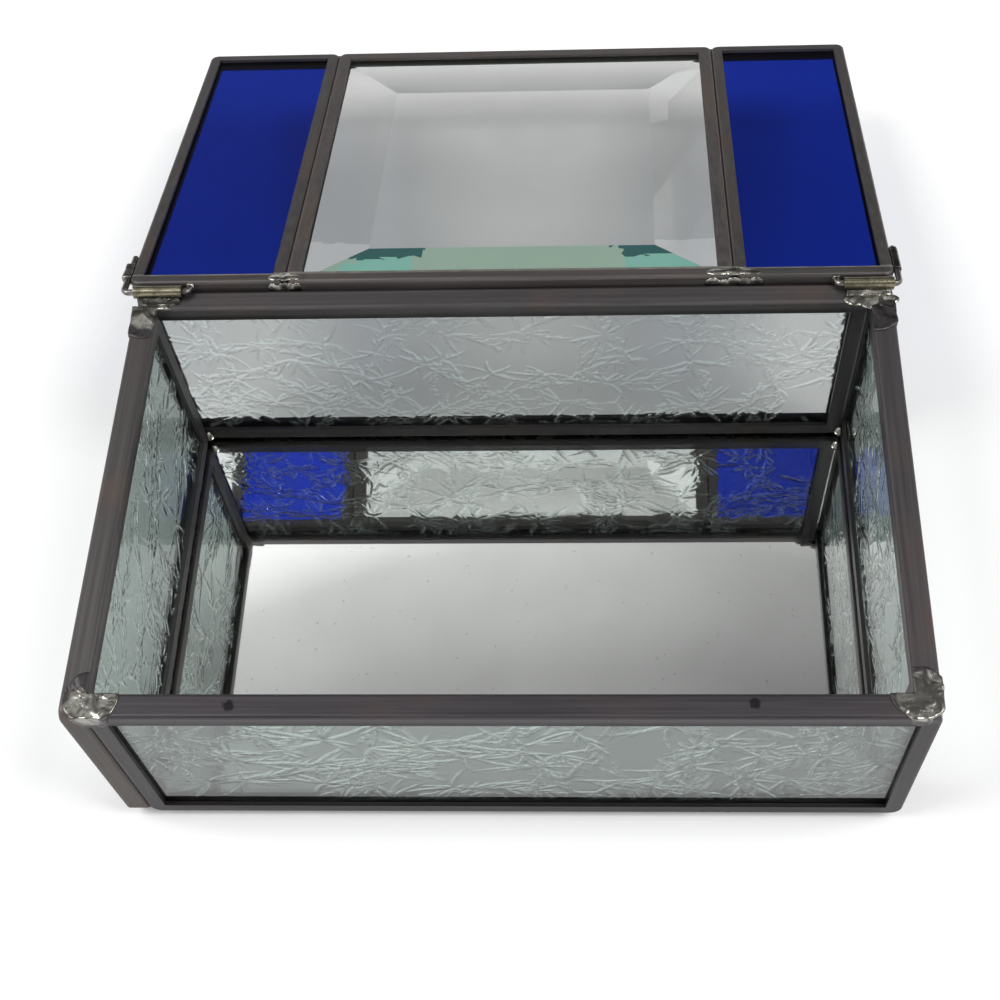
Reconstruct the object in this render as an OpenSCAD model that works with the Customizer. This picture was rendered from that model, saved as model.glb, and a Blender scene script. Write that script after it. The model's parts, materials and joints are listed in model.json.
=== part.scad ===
// Keepsake box of framed glass: four textured walls on a mirror base,
// with a hinged lid of three framed panes.
// X runs across the front, Y towards the hinge, Z up.
// The origin is the middle of the underside. The lid is drawn open.

/* [Box] */
// Outside width of the four walls, across the front
box_w = 178; // [130:1:260]
// Outside depth of the four walls, front to back
box_d = 110; // [80:1:180]
// Height of the framed walls
wall_h = 54; // [36:1:90]

/* [Wall frames] */
// Outside width of the channel strip round each wall pane
came_w = 5.5; // [5:0.1:8]
// Length of the strip's legs, from its outside face
came_leg = 4; // [3:0.1:6]
// Metal thickness of the strip
came_metal = 1; // [0.8:0.05:1.2]
// Rounding on the long edges of the strip
came_edge_r = 0.8; // [0.4:0.1:0.9]
// Outside radius where the strip is bent round a pane's corner
came_bend_r = 2.8; // [1.5:0.1:3]

/* [Wall panes] */
// Thickness of the textured wall glass
wall_glass_t = 3.2; // [2:0.1:3.3]
// Gap between a pane and the channel's floor
pane_play = 0.15; // [0.05:0.05:0.3]

/* [Base] */
// Thickness of the mirror glass
mirror_t = 2; // [2:0.1:4]
// Thickness of the reflecting layer under the mirror glass
silver_t = 0.1; // [0.05:0.05:0.2]
// Thickness of the protective backing under the reflecting layer
backing_t = 0.2; // [0.1:0.05:0.5]
// Thickness of the tinned foil folded round the base's edge
foil_t = 0.2; // [0.1:0.05:0.4]
// Width of the foil over the top and the underside
foil_lip = 2.6; // [1.5:0.1:4]
// How far the base stays back from the walls' outside faces
base_inset = 2; // [1:0.1:3]

/* [Lid] */
// How far the closed lid reaches past the left wall
lid_left_overhang = 1.8; // [0.5:0.1:4]
// How far the closed lid reaches past the right wall
lid_right_overhang = 0.6; // [0.5:0.1:4]
// How far the closed lid reaches past the front wall
lid_front_overhang = 4.8; // [0:0.1:8]
// Gap between the walls and the closed lid
lid_gap = 0.6; // [0.5:0.05:1.2]
// Width of each coloured side panel of the lid, with its frame
side_panel_w = 37.2; // [25:0.1:50]
// Thickness of the coloured glass
side_glass_t = 3; // [2:0.1:3.1]

/* [Lid frames] */
// Outside width of the channel strip round each lid pane
lid_came_w = 4.8; // [4.4:0.1:7]
// Length of the strip's legs round the side panes
side_leg = 3; // [2.4:0.1:5]
// Length of the strip's legs round the centre pane
centre_leg = 3.6; // [2.8:0.1:5]
// Metal thickness of the strip
lid_metal = 0.8; // [0.6:0.05:1]
// Rounding on the long edges of the strip
lid_edge_r = 0.8; // [0.4:0.1:0.9]
// Outside radius where the strip is bent round a pane's corner
lid_bend_r = 2.2; // [1.5:0.1:3]

/* [Bevelled pane] */
// Thickness of the bevelled pane in its middle
bevel_centre_t = 6; // [3:0.1:8]
// Thickness of the bevelled pane at its edge
bevel_edge_t = 2; // [1.5:0.1:2.5]
// Width of the bevel, from the pane's edge
bevel_w = 17; // [8:0.5:25]

/* [Hinge] */
// Outside diameter of the hinge tubes
tube_od = 3; // [2.4:0.1:5]
// Bore of the hinge tubes
tube_id = 1.6; // [1.2:0.05:2.2]
// Length of each hinge tube
tube_len = 11.5; // [6:0.5:25]
// Running clearance of the wire in its tube, all round
wire_clearance = 0.05; // [0.02:0.01:0.1]
// Distance from the hinge line forward to the closed lid's back edge
hinge_reach = 2.6; // [2.6:0.1:5]
// Distance from the hinge line back to the back wall's outside face
hinge_setback = 1.4; // [0:0.1:3]
// Length of the wire's outer arm along the side of the lid
wire_arm = 14; // [10:0.5:30]
// Radius of the bends in the wire, to its middle
wire_bend_r = 1.2; // [1:0.1:1.4]
// How far the lid turns from closed to open
lid_open = 194.5; // [100:0.5:196]

/* [Solder] */
// Thickness of the solder flowed over the walls' corners
solder_skin = 0.3; // [0.15:0.05:0.3]
// Reach of the solder over each top corner
corner_solder_r = 6; // [4:0.5:7]
// Radius of the small dabs in the inside bottom corners
dab_r = 1.8; // [1:0.1:2.5]
// Height of the solder beads on the lid's back edge
bead_h = 0.3; // [0.1:0.05:0.4]
// Length of the solder bead over the lid's left seam
left_bead_len = 8; // [6:0.5:20]
// Length of the solder bead over the lid's right seam
right_bead_len = 13.5; // [6:0.5:20]
// Length of the fillets that hold the base under the walls
tack_len = 12; // [5:0.5:20]
// Thickness of the solder film between a tube or wire and the strip it lies along
solder_film = 0.05; // [0.02:0.01:0.1]

/* [Hidden] */

$fn = 48;
arc_steps = 4;    // straight steps in each rounded long edge
over = 1;         // how far a cutting shape passes a face
big = 400;        // longer than any side of the model

// Heights of the base, from the underside up
silver_z = foil_t + backing_t;
mirror_z = silver_z + silver_t;
base_h = mirror_z + mirror_t + foil_t;
rim_z = base_h + wall_h;

// Each wall butts into the next one round the box, so its length leaves out one strip
long_wall = box_w - came_w;
short_wall = box_d - came_w;
left_x = -box_w / 2;
right_x = box_w / 2;
front_y = -box_d / 2;
back_y = box_d / 2;

// Hinge line
axis_y = back_y - hinge_setback;
axis_z = rim_z + tube_od / 2 + solder_film;
wire_d = tube_id - 2 * wire_clearance;
tube_x = left_x;     // outer end of the left tube; the right one mirrors it
wire_end_gap = 0.3;  // between a tube's inner end and the start of the hook
hook_x = tube_x + tube_len + wire_end_gap + wire_bend_r;

// Lid, closed
lid_x = left_x - lid_left_overhang;
lid_w = box_w + lid_left_overhang + lid_right_overhang;
lid_back = axis_y - hinge_reach;
lid_front = front_y - lid_front_overhang;
lid_d = lid_back - lid_front;
lid_z = rim_z + lid_gap;
centre_panel_w = lid_w - 2 * side_panel_w;
left_seam_x = lid_x + side_panel_w;
right_seam_x = left_seam_x + centre_panel_w;
bevel_bed = lid_metal + 0.1; // underside of the bevelled pane, above the frame's face

// Solder
corner_sink = 1;        // how far the balls at the top corners are centred below the rim
fillet_toe = 1.4;       // reach of a hinge tube's fillet past the tube
fillet_end_gap = 0.8;   // length of a hinge tube left bare at each end of its fillet
tack_r = min(base_inset, base_h) - 0.4;
left_arm_solder_t = 0.8;  // thickness round the left wire's arm
right_arm_solder_t = 0.4; // thickness round the right wire's arm
arm_solder_back = 2.5;    // distance of an arm's solder from the lid's back edge
right_arm_solder_len = wire_arm - hinge_reach - arm_solder_back - 0.5;
left_arm_solder_len = 0.65 * right_arm_solder_len;
hook_solder_t = 0.3;    // thickness round the hook's end
notch_h = lid_came_w - 2 * lid_edge_r; // height filled in a notch between two bent corners
notch_half = 1.2;       // half the width filled there

// Finishes
came_colour = [0.30, 0.29, 0.29];
solder_colour = [0.62, 0.61, 0.58];
chip_colour = [0.62, 0.70, 0.68, 0.5];

// ---- Shared shapes ----

function arc(cx, cy, r, from) =
    [for (i = [0 : arc_steps]) let (a = from + 90 * i / arc_steps) [cx + r * cos(a), cy + r * sin(a)]];

// Rectangle from the origin with its four corners rounded
module rounded_section(length, thick, r) {
    polygon(concat(
        arc(length - r, r, r, -90), arc(length - r, thick - r, r, 0),
        arc(r, thick - r, r, 90), arc(r, r, r, 180)
    ));
}

// Plate w by h by thick with bent corners and rounded long edges
module frame_blank(w, h, thick, edge_r, bend_r) {
    translate([bend_r, 0, 0]) rotate([90, 0, 90])
        linear_extrude(w - 2 * bend_r) rounded_section(h, thick, edge_r);
    translate([0, h - bend_r, 0]) rotate([90, 0, 0])
        linear_extrude(h - 2 * bend_r) rounded_section(w, thick, edge_r);
    for (x = [bend_r, w - bend_r], y = [bend_r, h - bend_r])
        translate([x, y, 0]) rotate_extrude()
            polygon(concat(
                [[0, 0]],
                arc(bend_r - edge_r, edge_r, edge_r, -90),
                arc(bend_r - edge_r, thick - edge_r, edge_r, 0),
                [[0, thick]]
            ));
}

// U-channel strip bent round a pane: the blank, less the channel and the window
module came_frame(w, h, thick, leg, metal, edge_r, bend_r) {
    difference() {
        frame_blank(w, h, thick, edge_r, bend_r);
        translate([metal, metal, metal])
            cube([w - 2 * metal, h - 2 * metal, thick - 2 * metal]);
        translate([leg, leg, -over])
            cube([w - 2 * leg, h - 2 * leg, thick + 2 * over]);
    }
}

// Flat pane that fills such a frame's channel
module flat_pane(w, h, thick, glass_t, metal) {
    edge = metal + pane_play;
    translate([edge, edge, (thick - glass_t) / 2])
        cube([w - 2 * edge, h - 2 * edge, glass_t]);
}

// ---- Walls ----

module wall_blank(length) {
    frame_blank(length, wall_h, came_w, came_edge_r, came_bend_r);
}

module wall_came(length) {
    came_frame(length, wall_h, came_w, came_leg, came_metal, came_edge_r, came_bend_r);
}

module wall_pane(length) {
    flat_pane(length, wall_h, came_w, wall_glass_t, came_metal);
}

// Stand a wall drawn flat in its place
module at_front() { translate([left_x + came_w, front_y + came_w, base_h]) rotate([90, 0, 0]) children(); }
module at_back() { translate([left_x, back_y, base_h]) rotate([90, 0, 0]) children(); }
module at_left() { translate([left_x, front_y, base_h]) rotate([90, 0, 90]) children(); }
module at_right() { translate([right_x - came_w, front_y + came_w, base_h]) rotate([90, 0, 90]) children(); }

module front_glass() { color(chip_colour) at_front() wall_pane(long_wall); }
module back_glass() { color(chip_colour) at_back() wall_pane(long_wall); }
module left_glass() { color(chip_colour) at_left() wall_pane(short_wall); }
module right_glass() { color(chip_colour) at_right() wall_pane(short_wall); }

module front_came() { color(came_colour) at_front() wall_came(long_wall); }
module back_came() { color(came_colour) at_back() wall_came(long_wall); }
module left_came() { color(came_colour) at_left() wall_came(short_wall); }
module right_came() { color(came_colour) at_right() wall_came(short_wall); }

// ---- Base ----

// Slab of the base, kept back by the given distance from the walls' outside
module base_slab(back, z, thick) {
    translate([left_x + back, front_y + back, z])
        cube([box_w - 2 * back, box_d - 2 * back, thick]);
}

module mirror_pane() {
    color([0.75, 0.80, 0.80, 0.5]) base_slab(base_inset + foil_t, mirror_z, mirror_t);
}

module mirror_silvering() {
    color([0.88, 0.88, 0.88]) base_slab(base_inset + foil_t, silver_z, silver_t);
}

// The backing stands flush with the foil's lip underneath
module mirror_backing() {
    color([0.34, 0.35, 0.36]) {
        base_slab(base_inset + foil_t, foil_t, backing_t);
        base_slab(base_inset + foil_lip, 0, foil_t);
    }
}

module base_foil() {
    color(solder_colour) difference() {
        base_slab(base_inset, 0, base_h);
        base_slab(base_inset + foil_t, foil_t, base_h - 2 * foil_t);
        base_slab(base_inset + foil_lip, -over, base_h + 2 * over);
    }
}

// Quarter-round fillets in the step between the base's edge and the walls' underside
module base_tack_solder() {
    color(solder_colour) {
        for (sx = [-1, 1], side = [-1, 1])
            translate([sx * box_w / 4 - tack_len / 2, side * (box_d / 2 - base_inset), base_h])
                rotate([90, 0, 90]) linear_extrude(tack_len) quarter_disc(tack_r, side);
        for (side = [-1, 1])
            translate([side * (box_w / 2 - base_inset), tack_len / 2, base_h])
                rotate([90, 0, 0]) linear_extrude(tack_len) quarter_disc(tack_r, side);
    }
}

// Quarter disc below the X axis, on the given side of the Y axis
module quarter_disc(r, side) {
    intersection() {
        circle(r);
        translate([side > 0 ? 0 : -r, -r]) square(r);
    }
}

// ---- Solder on the walls ----

// Solder flowed over a top corner: a skin on the walls' top and outside, within a ball at
// the joint. It stops a film's thickness short of the walls' inside faces.
module corner_solder(x, y, sx, y_min, y_max) {
    difference() {
        intersection() {
            translate([x, y, rim_z - corner_sink]) sphere(corner_solder_r);
            translate([
                sx < 0 ? left_x - solder_skin : right_x + solder_skin - big,
                y_min, rim_z + solder_skin - big
            ]) cube([big, y_max - y_min, big]);
            difference() {
                translate([-big / 2, -big / 2, 0]) cube(big);
                base_slab(came_w - solder_film, 0, big);
            }
        }
        children();
    }
}

module front_left_solder() {
    color(solder_colour) corner_solder(
        left_x + came_w + 1, front_y + came_w - 1, -1, front_y - solder_skin, 0
    ) {
        at_front() wall_blank(long_wall);
        at_left() wall_blank(short_wall);
    }
}

module front_right_solder() {
    color(solder_colour) corner_solder(
        right_x - came_w + 1, front_y + came_w, 1, front_y - solder_skin, 0
    ) {
        at_front() wall_blank(long_wall);
        at_right() wall_blank(short_wall);
    }
}

// The back corners' solder ends in front of the hinge tubes' fillets
back_solder_end = axis_y - tube_od / 2 - fillet_toe - 0.2;
back_solder_y = back_y - came_w - corner_solder_r / 2 + 0.4;

module back_left_solder() {
    color(solder_colour) corner_solder(
        left_x + came_w - 2, back_solder_y, -1, 0, back_solder_end
    ) {
        at_back() wall_blank(long_wall);
        at_left() wall_blank(short_wall);
    }
}

module back_right_solder() {
    color(solder_colour) corner_solder(
        right_x - came_w + 1, back_solder_y, 1, 0, back_solder_end
    ) {
        at_back() wall_blank(long_wall);
        at_right() wall_blank(short_wall);
    }
}

// Quarter balls in the four inside corners, just above the base
module inside_corner_solder() {
    inner_w = box_w - 2 * came_w;
    inner_d = box_d - 2 * came_w;
    color(solder_colour) intersection() {
        for (sx = [-1, 1], sy = [-1, 1])
            translate([sx * inner_w / 2, sy * inner_d / 2, base_h + dab_r]) sphere(dab_r);
        translate([-inner_w / 2, -inner_d / 2, base_h]) cube([inner_w, inner_d, 2 * dab_r]);
    }
}

// ---- Hinge tubes ----

module hinge_tube() {
    translate([tube_x, axis_y, axis_z]) rotate([0, 90, 0]) difference() {
        cylinder(d = tube_od, h = tube_len);
        translate([0, 0, -over]) cylinder(d = tube_id, h = tube_len + 2 * over);
    }
}

// Fillet between a tube and the rim, on the tube's front side
module tube_solder() {
    r = tube_od / 2;
    translate([tube_x + fillet_end_gap, axis_y, rim_z]) rotate([90, 0, 90])
        linear_extrude(tube_len - 2 * fillet_end_gap) difference() {
            polygon([
                [-r - fillet_toe, 0], [-0.4, 0], [-0.4, 0.8 * r],
                [-0.87 * r, 0.83 * r], [-r - 0.55 * fillet_toe, 0.25]
            ]);
            translate([0, r + solder_film]) circle(r);
        }
}

module left_hinge_tube() { color([0.55, 0.52, 0.38]) hinge_tube(); }
module right_hinge_tube() { color([0.55, 0.52, 0.38]) mirror([1, 0, 0]) hinge_tube(); }
module left_tube_solder() { color(solder_colour) tube_solder(); }
module right_tube_solder() { color(solder_colour) mirror([1, 0, 0]) tube_solder(); }

// ---- Lid, drawn closed and then turned open about the hinge line ----

module opened() {
    translate([0, axis_y, axis_z]) rotate([-lid_open, 0, 0]) translate([0, -axis_y, -axis_z]) children();
}

module on_lid(x) { opened() translate([x, lid_front, lid_z]) children(); }

module lid_came(w, leg) {
    color(came_colour) came_frame(w, lid_d, lid_came_w, leg, lid_metal, lid_edge_r, lid_bend_r);
}

module side_pane() {
    color([0.10, 0.13, 0.55, 0.8]) flat_pane(side_panel_w, lid_d, lid_came_w, side_glass_t, lid_metal);
}

// Section across a bevelled pane: flat underneath, thick in the middle
module bevel_section(length) {
    polygon([
        [0, 0], [length, 0], [length, bevel_edge_t],
        [length - bevel_w, bevel_centre_t], [bevel_w, bevel_centre_t], [0, bevel_edge_t]
    ]);
}

module bevelled_pane(w, h) {
    intersection() {
        rotate([90, 0, 90]) linear_extrude(w) bevel_section(h);
        translate([0, h, 0]) rotate([90, 0, 0]) linear_extrude(h) bevel_section(w);
    }
}

module lid_left_pane() { on_lid(lid_x) side_pane(); }
module lid_right_pane() { on_lid(right_seam_x) side_pane(); }
module lid_centre_pane() {
    edge = lid_metal + pane_play;
    color([0.70, 0.72, 0.72, 0.4]) on_lid(left_seam_x + edge)
        translate([0, edge, bevel_bed]) bevelled_pane(centre_panel_w - 2 * edge, lid_d - 2 * edge);
}

module lid_left_came() { on_lid(lid_x) lid_came(side_panel_w, side_leg); }
module lid_centre_came() { on_lid(left_seam_x) lid_came(centre_panel_w, centre_leg); }
module lid_right_came() { on_lid(right_seam_x) lid_came(side_panel_w, side_leg); }

// ---- Solder on the lid ----

// Solder in the notch where two bent corners meet, drawn at the seam, towards +Y
module notch_solder() {
    r = lid_bend_r;
    translate([0, 0, lid_edge_r]) linear_extrude(notch_h) difference() {
        translate([-notch_half, -r]) square([2 * notch_half, r]);
        for (side = [-1, 1]) translate([side * r, -r]) circle(r);
    }
}

// Low bead along the back edge, over a seam
module edge_bead(length) {
    chord = notch_h - 0.4;
    r = (chord * chord / 4 + bead_h * bead_h) / (2 * bead_h);
    translate([-length / 2, 0, lid_came_w / 2]) rotate([90, 0, 90])
        linear_extrude(length) intersection() {
            translate([bead_h - r, 0]) circle(r);
            translate([0, -chord]) square(2 * chord);
        }
}

module seam_solder(x, bead_len) {
    color(solder_colour) opened() translate([x, lid_back, lid_z]) {
        notch_solder();
        edge_bead(bead_len);
    }
}

module lid_left_seam_solder() { seam_solder(left_seam_x, left_bead_len); }
module lid_right_seam_solder() { seam_solder(right_seam_x, right_bead_len); }
module lid_front_seam_solder() {
    color(solder_colour) opened() for (x = [left_seam_x, right_seam_x])
        translate([x, lid_front, lid_z]) mirror([0, 1, 0]) notch_solder();
}

// ---- Hinge wires: a pin in the tube, an arm beside the lid and a hook to its back edge ----

// Quarter bend of wire from angle 0 to 90 round the origin
module wire_elbow() {
    rotate_extrude(angle = 90) translate([wire_bend_r, 0]) circle(d = wire_d);
}

// Wire at the left end of a lid whose side stands at side_x
module hinge_wire(side_x) {
    arm_x = side_x - solder_film - wire_d / 2;
    translate([arm_x + wire_bend_r, axis_y, axis_z]) rotate([0, 90, 0])
        cylinder(d = wire_d, h = hook_x - arm_x - 2 * wire_bend_r);
    translate([arm_x + wire_bend_r, axis_y - wire_bend_r, axis_z]) rotate([0, 0, 90]) wire_elbow();
    translate([arm_x, axis_y - wire_bend_r, axis_z]) rotate([90, 0, 0])
        cylinder(d = wire_d, h = wire_arm - wire_bend_r);
    translate([hook_x - wire_bend_r, axis_y - wire_bend_r, axis_z]) wire_elbow();
    translate([hook_x, axis_y - wire_bend_r, axis_z]) rotate([90, 0, 0])
        cylinder(d = wire_d, h = hinge_reach - wire_bend_r);
}

// Solder that ties the arm to the lid's side
module arm_solder(side_x, thick, length) {
    r = wire_d / 2 + thick;
    arm_x = side_x - solder_film - wire_d / 2;
    difference() {
        intersection() {
            translate([arm_x, lid_back - arm_solder_back, axis_z])
                rotate([90, 0, 0]) cylinder(r = r, h = length);
            translate([side_x - 2 * r, lid_front, lid_z]) cube([2 * r, lid_d, lid_came_w]);
        }
        translate([arm_x, lid_back, axis_z]) rotate([90, 0, 0]) cylinder(d = wire_d, h = lid_d);
    }
}

// Solder that ties the hook to the lid's back edge
module hook_solder() {
    r = wire_d / 2 + hook_solder_t;
    difference() {
        intersection() {
            translate([hook_x, lid_back + 0.5, axis_z]) sphere(r);
            translate([hook_x - r, lid_back, lid_z]) cube([2 * r, hinge_reach, lid_came_w]);
        }
        translate([hook_x, axis_y, axis_z]) rotate([90, 0, 0]) cylinder(d = wire_d, h = 2 * hinge_reach);
    }
}

left_side_x = lid_x;
right_side_x = left_x - lid_right_overhang; // the right-hand pieces are drawn on the left and mirrored

module left_hinge_wire() { color([0.58, 0.57, 0.54]) opened() hinge_wire(left_side_x); }
module right_hinge_wire() { color([0.58, 0.57, 0.54]) opened() mirror([1, 0, 0]) hinge_wire(right_side_x); }
module left_arm_solder() {
    color(solder_colour) opened() arm_solder(left_side_x, left_arm_solder_t, left_arm_solder_len);
}
module right_arm_solder() {
    color(solder_colour) opened() mirror([1, 0, 0])
        arm_solder(right_side_x, right_arm_solder_t, right_arm_solder_len);
}
module left_hook_solder() { color(solder_colour) opened() hook_solder(); }
module right_hook_solder() { color(solder_colour) opened() mirror([1, 0, 0]) hook_solder(); }

front_glass();
back_glass();
left_glass();
right_glass();
front_came();
back_came();
left_came();
right_came();
mirror_pane();
mirror_silvering();
mirror_backing();
base_foil();
base_tack_solder();
front_left_solder();
front_right_solder();
back_left_solder();
back_right_solder();
inside_corner_solder();
left_hinge_tube();
right_hinge_tube();
left_tube_solder();
right_tube_solder();
lid_left_pane();
lid_centre_pane();
lid_right_pane();
lid_left_came();
lid_centre_came();
lid_right_came();
lid_left_seam_solder();
lid_right_seam_solder();
lid_front_seam_solder();
left_hinge_wire();
right_hinge_wire();
left_arm_solder();
right_arm_solder();
left_hook_solder();
right_hook_solder();
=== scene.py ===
"""Finishes a keepsake box of framed glass: chipped wall panes, blue and bevelled lid panes,
a mirror base, dark channel strip and solder, with a pale stage to stand on."""

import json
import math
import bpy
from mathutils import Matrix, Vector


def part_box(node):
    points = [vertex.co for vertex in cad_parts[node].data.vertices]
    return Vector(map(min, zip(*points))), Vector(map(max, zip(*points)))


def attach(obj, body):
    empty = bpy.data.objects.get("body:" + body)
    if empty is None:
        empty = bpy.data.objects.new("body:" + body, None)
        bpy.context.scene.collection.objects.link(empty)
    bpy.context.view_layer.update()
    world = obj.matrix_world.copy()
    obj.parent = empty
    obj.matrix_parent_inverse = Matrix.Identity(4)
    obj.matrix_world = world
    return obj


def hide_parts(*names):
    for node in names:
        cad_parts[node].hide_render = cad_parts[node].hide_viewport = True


bl_info = {
    "name": "Glass Casket Box",
    "version": (1, 0, 0),
    "blender": (4, 5, 0),
    "location": "3D View > Sidebar > Casket Box",
    "description": "Builds the glass, metal and solder of a hinged keepsake box around its frame",
    "category": "Object",
}

import bmesh
import bpy
import numpy as np
from bpy.props import FloatProperty, FloatVectorProperty, PointerProperty
from mathutils import Matrix, Vector, noise

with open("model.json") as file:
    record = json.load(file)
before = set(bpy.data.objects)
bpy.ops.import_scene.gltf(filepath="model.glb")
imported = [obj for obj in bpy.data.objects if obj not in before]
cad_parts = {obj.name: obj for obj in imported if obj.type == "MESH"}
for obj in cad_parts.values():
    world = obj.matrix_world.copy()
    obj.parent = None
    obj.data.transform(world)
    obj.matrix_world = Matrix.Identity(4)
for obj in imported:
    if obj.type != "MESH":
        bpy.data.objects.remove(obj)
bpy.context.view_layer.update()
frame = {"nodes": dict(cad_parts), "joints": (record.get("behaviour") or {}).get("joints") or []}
NODES = frame["nodes"]
MM = 0.001


# ---------------------------------------------------------------- settings

class GlassSettings(bpy.types.PropertyGroup):
    """Colours of the glass, and the size of the flakes that the glue pulled out of it"""

    face_tint: FloatVectorProperty(
        name="Wall glass, square on",
        description="Colour that the wall glass lets through when it is seen square on",
        subtype="COLOR", size=3, min=0, max=1, default=(0.80, 0.875, 0.845))
    slant_tint: FloatVectorProperty(
        name="Wall glass, on a slant",
        description="Colour that the wall glass lets through on a slant",
        subtype="COLOR", size=3, min=0, max=1, default=(0.32, 0.39, 0.365))
    broken_colour: FloatVectorProperty(
        name="Broken edges", description="Colour of the frosted edges of the flakes",
        subtype="COLOR", size=3, min=0, max=1, default=(0.52, 0.58, 0.55))
    blue_tint: FloatVectorProperty(
        name="Blue glass", description="Colour that the lid's side panes let through",
        subtype="COLOR", size=3, min=0, max=1, default=(0.009, 0.034, 0.45))
    clear_tint: FloatVectorProperty(
        name="Bevelled glass", description="Colour that the lid's centre pane lets through",
        subtype="COLOR", size=3, min=0, max=1, default=(0.75, 0.76, 0.75))
    bevel_tint: FloatVectorProperty(
        name="Bevel",
        description="Colour of the light that a steep bevel gathers from inside the glass",
        subtype="COLOR", size=3, min=0, max=1, default=(0.32, 0.66, 0.56))
    fern_spacing: FloatProperty(
        name="Fern spacing", description="Distance between the roots of two ferns of flakes",
        subtype="DISTANCE", unit="LENGTH", min=0.004, max=0.04, default=0.0100)
    fern_length: FloatProperty(
        name="Fern length", description="Length of a fern's stem",
        subtype="DISTANCE", unit="LENGTH", min=0.004, max=0.06, default=0.020)
    flake_length: FloatProperty(
        name="Flake length", description="Length of a flake",
        subtype="DISTANCE", unit="LENGTH", min=0.002, max=0.04, default=0.0082)
    flake_width: FloatProperty(
        name="Flake width", description="Width of the hollow beside a flake's sharp edge",
        subtype="DISTANCE", unit="LENGTH", min=0.0005, max=0.01, default=0.0014)
    flake_depth: FloatProperty(
        name="Flake depth", description="Depth of a flake at its sharp edge",
        subtype="DISTANCE", unit="LENGTH", min=0.0, max=0.0006, default=0.00021)
    relief_step: FloatProperty(
        name="Relief step", description="Spacing of the mesh that carries the flakes",
        subtype="DISTANCE", unit="LENGTH", min=0.0003, max=0.003, default=0.00036)


class MetalSettings(bpy.types.PropertyGroup):
    """Colours of the strip, the solder and the hinges"""

    strip_colour: FloatVectorProperty(
        name="Strip", description="Colour of the darkened channel strip",
        subtype="COLOR", size=3, min=0, max=1, default=(0.060, 0.056, 0.057))
    solder_colour: FloatVectorProperty(
        name="Solder", description="Colour of the bare solder",
        subtype="COLOR", size=3, min=0, max=1, default=(0.34, 0.33, 0.295))
    tube_colour: FloatVectorProperty(
        name="Tube", description="Colour of the dulled brass hinge tubes",
        subtype="COLOR", size=3, min=0, max=1, default=(0.27, 0.245, 0.175))
    solder_grain: FloatProperty(
        name="Solder grain", description="Spacing of the mesh that carries the solder's lumps",
        subtype="DISTANCE", unit="LENGTH", min=0.0001, max=0.001, default=0.00018)


class StageSettings(bpy.types.PropertyGroup):
    """Floor, light and camera"""

    floor_colour: FloatVectorProperty(
        name="Floor", description="Colour of the floor",
        subtype="COLOR", size=3, min=0, max=1, default=(0.97, 0.97, 0.97))
    floor_lift: FloatProperty(
        name="Floor lift",
        description="How much of the floor is seen as plain white whatever lights it",
        min=0.0, max=1.0, default=0.15)
    sky_strength: FloatProperty(
        name="Sky strength", description="Strength of the soft light from all round",
        min=0.0, max=2.0, default=1.0)
    lens: FloatProperty(
        name="Lens", description="Focal length on a 36 mm sensor",
        subtype="DISTANCE_CAMERA", min=20, max=200, default=54.5)


# How far the noise of each piece is moved on from that of the last
STRIP_SHIFT, PANE_SHIFT, SOLDER_SHIFT = (0.37, 0.11, 0.23), (0.7, 0.3, 0.5), (1.7, 0.9, 2.3)


# ---------------------------------------------------------------- node helpers

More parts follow.
